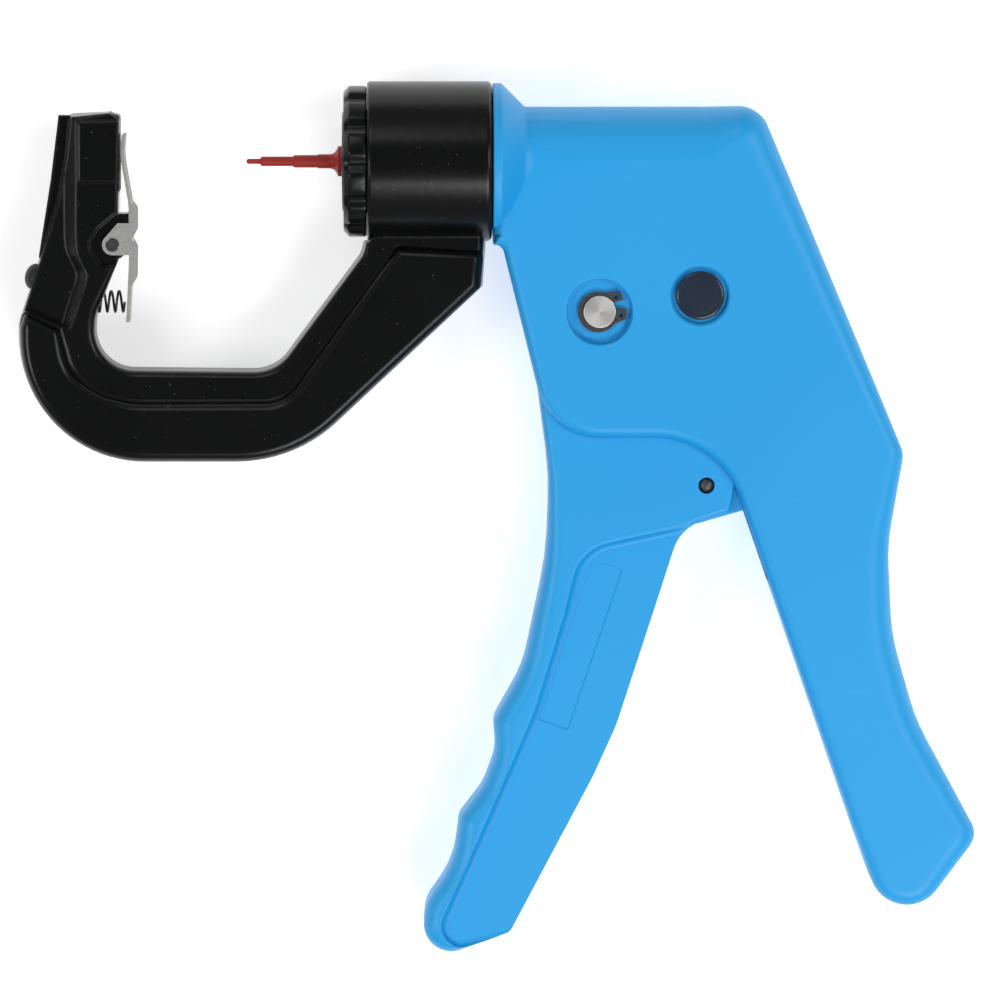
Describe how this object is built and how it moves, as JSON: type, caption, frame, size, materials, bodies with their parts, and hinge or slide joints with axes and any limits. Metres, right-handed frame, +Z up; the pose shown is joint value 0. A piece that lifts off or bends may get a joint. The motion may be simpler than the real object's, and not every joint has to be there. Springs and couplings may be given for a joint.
{
  "type": "ear tag applicator",
  "caption": "Pistol-grip hand tool that pushes a pin through an ear tag: cast C-shaped jaw with anvil and tag clip, plunger, lever drive and trigger.",
  "frame": {"origin": "middle of the footprint, on the surface that the tool lies on", "axes": "+X from the anvil back to the grip, along the plunger; +Y from the grip's end towards the plunger; +Z up out of the side of the tool, which lies flat"},
  "size_m": [0.298, 0.2704, 0.0494],
  "materials": {
    "blue_moulding": "satin",
    "black_casting": "satin",
    "red_plastic": "satin",
    "bright_steel": "satin",
    "dark_steel": "satin",
    "stainless": "satin",
    "black_plastic": "gloss",
    "black_rubber": "matte"
  },
  "bodies": {
    "housing": {"body_shell": "blue_moulding", "lock_nut": "black_casting", "plunger_bush": "black_plastic", "return_spring": "dark_steel", "lever_pivot_pin": "bright_steel", "circlip_near": "dark_steel", "circlip_far": "dark_steel", "trigger_pivot_pin": "bright_steel", "pivot_cap_near": "black_plastic", "pivot_cap_far": "black_plastic"},
    "jaw": {"jaw_frame": "black_casting", "anvil_plate": "dark_steel", "arm_knob": "black_rubber", "clip_pivot_pin": "dark_steel", "clip_spring": "dark_steel"},
    "clip": {"tag_clip": "stainless"},
    "plunger": {"plunger_rod": "bright_steel", "applicator_pin": "red_plastic", "plunger_cross_pin": "bright_steel", "spring_seat": "bright_steel", "seat_ring": "dark_steel"},
    "lever": {"drive_lever": "dark_steel", "lever_link_pin": "bright_steel"},
    "trigger_arm": {"trigger": "blue_moulding", "trigger_link_pin": "dark_steel"},
    "link": {"pull_link": "dark_steel"}
  },
  "joints": [
    {"name": "trigger_squeeze", "type": "hinge", "parent": "housing", "child": "trigger_arm", "pos_m": [0.06234, 0.06954, 0.02472], "axis": [0, 0, 1], "range_deg": [0, 20], "stiffness_Nm_per_rad": 5.5, "springref_deg": -9.74},
    {"name": "plunger_slide", "type": "slide", "parent": "housing", "child": "plunger", "axis": [-1, 0, 0], "range_m": [0, 0.0411], "deforming": ["return_spring"]},
    {"name": "lever_swing", "type": "hinge", "parent": "housing", "child": "lever", "pos_m": [0.03134, 0.06454, 0.02472], "axis": [0, 0, 1], "range_deg": [0, 48.3]},
    {"name": "link_swing", "type": "hinge", "parent": "trigger_arm", "child": "link", "pos_m": [0.06454, 0.01054, 0.02472], "axis": [0, 0, 1], "range_deg": [-9, 0]},
    {"name": "jaw_swivel", "type": "hinge", "parent": "housing", "child": "jaw", "pos_m": [-0.02106, 0.11044, 0.02472], "axis": [1, 0, 0], "continuous": true},
    {"name": "clip_press", "type": "hinge", "parent": "jaw", "child": "clip", "pos_m": [-0.11906, 0.08494, 0.02472], "axis": [0, 0, 1], "range_deg": [-12, 0], "stiffness_Nm_per_rad": 0.3, "springref_deg": 8.59, "deforming": ["clip_spring"]}
  ],
  "couplings": [
    {"joint": "plunger_slide", "follows": "trigger_squeeze", "m_per_rad": 0.11746},
    {"joint": "lever_swing", "follows": "trigger_squeeze", "ratio": 2.4067},
    {"joint": "link_swing", "follows": "trigger_squeeze", "ratio": -0.43993}
  ]
}
